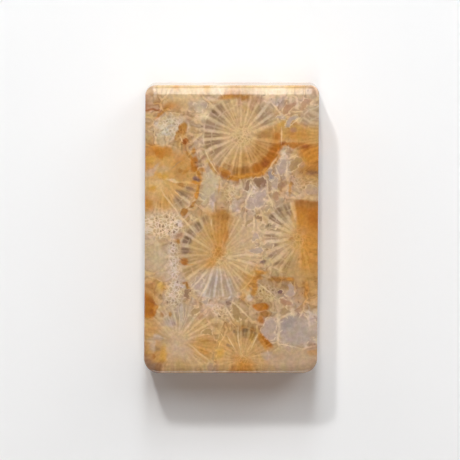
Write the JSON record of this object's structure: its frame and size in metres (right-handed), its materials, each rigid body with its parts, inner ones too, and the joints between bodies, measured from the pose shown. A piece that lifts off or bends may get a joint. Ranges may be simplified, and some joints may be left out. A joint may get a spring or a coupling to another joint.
{
  "type": "fossil coral slab",
  "caption": "Hand-squared polished slab of agatised fossil coral with rounded edges and corners; lies flat on its back.",
  "frame": {"origin": "on the surface that the slab rests on, under the middle of its box", "axes": "+Z out of the pictured face; +Y along the slab's long way, to the far end, which is the upper end in the picture; +X across it, to the picture's right"},
  "size_m": [0.0222, 0.0364, 0.008],
  "materials": {
    "polished_coral_agate": "high polish, slightly translucent"
  },
  "bodies": {
    "root": {"fossil_coral_slab": "polished_coral_agate"}
  },
  "joints": []
}
